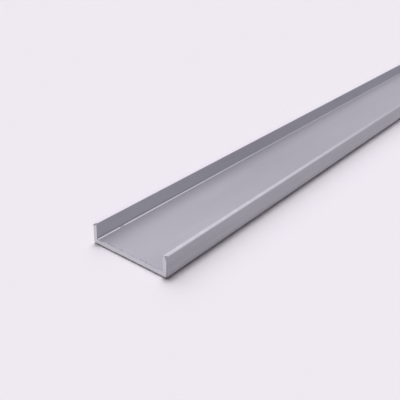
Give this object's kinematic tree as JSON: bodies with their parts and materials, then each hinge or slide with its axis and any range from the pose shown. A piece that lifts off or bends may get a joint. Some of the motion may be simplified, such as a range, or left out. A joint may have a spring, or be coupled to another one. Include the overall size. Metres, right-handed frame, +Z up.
{
  "type": "aluminium extrusion profile",
  "caption": "Shallow U-shaped aluminium extrusion with thin walls and a satin anodised finish, used as an edge trim, a cover or a channel for a strip.",
  "frame": {"origin": "middle of the underside, halfway along the length and halfway across the width, on the plane that the channel lies on", "axes": "+X along the length, away from the sawn end with the filed corners; +Y across the width; +Z up, out of the open side"},
  "size_m": [0.5, 0.02, 0.005],
  "materials": {
    "satin_anodised_aluminium": "satin, clear anodised, with bare sawn ends"
  },
  "bodies": {
    "root": {"u_channel": "satin_anodised_aluminium"}
  },
  "joints": []
}
